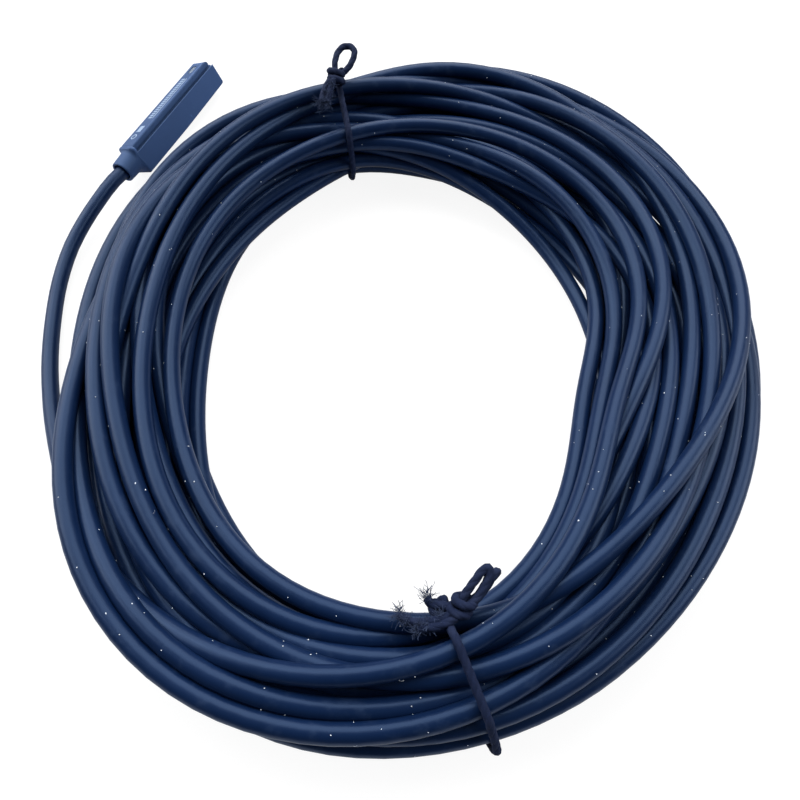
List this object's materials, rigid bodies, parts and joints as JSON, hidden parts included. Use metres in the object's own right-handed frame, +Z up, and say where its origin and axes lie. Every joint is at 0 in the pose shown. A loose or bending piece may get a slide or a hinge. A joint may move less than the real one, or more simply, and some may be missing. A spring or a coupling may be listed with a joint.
{
  "type": "cylinder position sensor",
  "caption": "Slim slot-mounted position sensor for a pneumatic cylinder: a moulded head with a rail and an indicator window, on a long thin cable wound in a tied coil.",
  "frame": {"origin": "on the table, under the middle of the sensor's head", "axes": "+X along the head from the cable to the nose, +Z up from the table"},
  "size_m": [0.1414, 0.1352, 0.0222],
  "materials": {
    "housing_plastic": "fine satin moulding",
    "indicator_clear": "clear moulding",
    "board": "solder mask",
    "chip": "moulded epoxy",
    "led": "moulded",
    "ceramic": "fired ceramic",
    "jacket": "satin extruded jacket",
    "core_brown": "extruded insulation",
    "core_black": "extruded insulation",
    "core_blue": "extruded insulation",
    "tinned_copper": "tinned strands",
    "string": "braided string"
  },
  "bodies": {
    "root": {"housing": "housing_plastic", "indicator_lens": "indicator_clear", "circuit_board": "board", "magnet_sensor_chip": "chip", "output_driver_chip": "chip", "indicator_led": "led", "resistor_led": "chip", "resistor_pullup": "chip", "capacitor": "ceramic", "wire_brown_board": "core_brown", "wire_black_board": "core_black", "wire_blue_board": "core_blue", "cable_lead": "jacket", "cable_coil": "jacket", "cable_tail": "jacket", "wire_brown_end": "core_brown", "wire_black_end": "core_black", "wire_blue_end": "core_blue", "tip_brown": "tinned_copper", "tip_black": "tinned_copper", "tip_blue": "tinned_copper", "tie_upper": "string", "tie_lower": "string"}
  },
  "joints": []
}
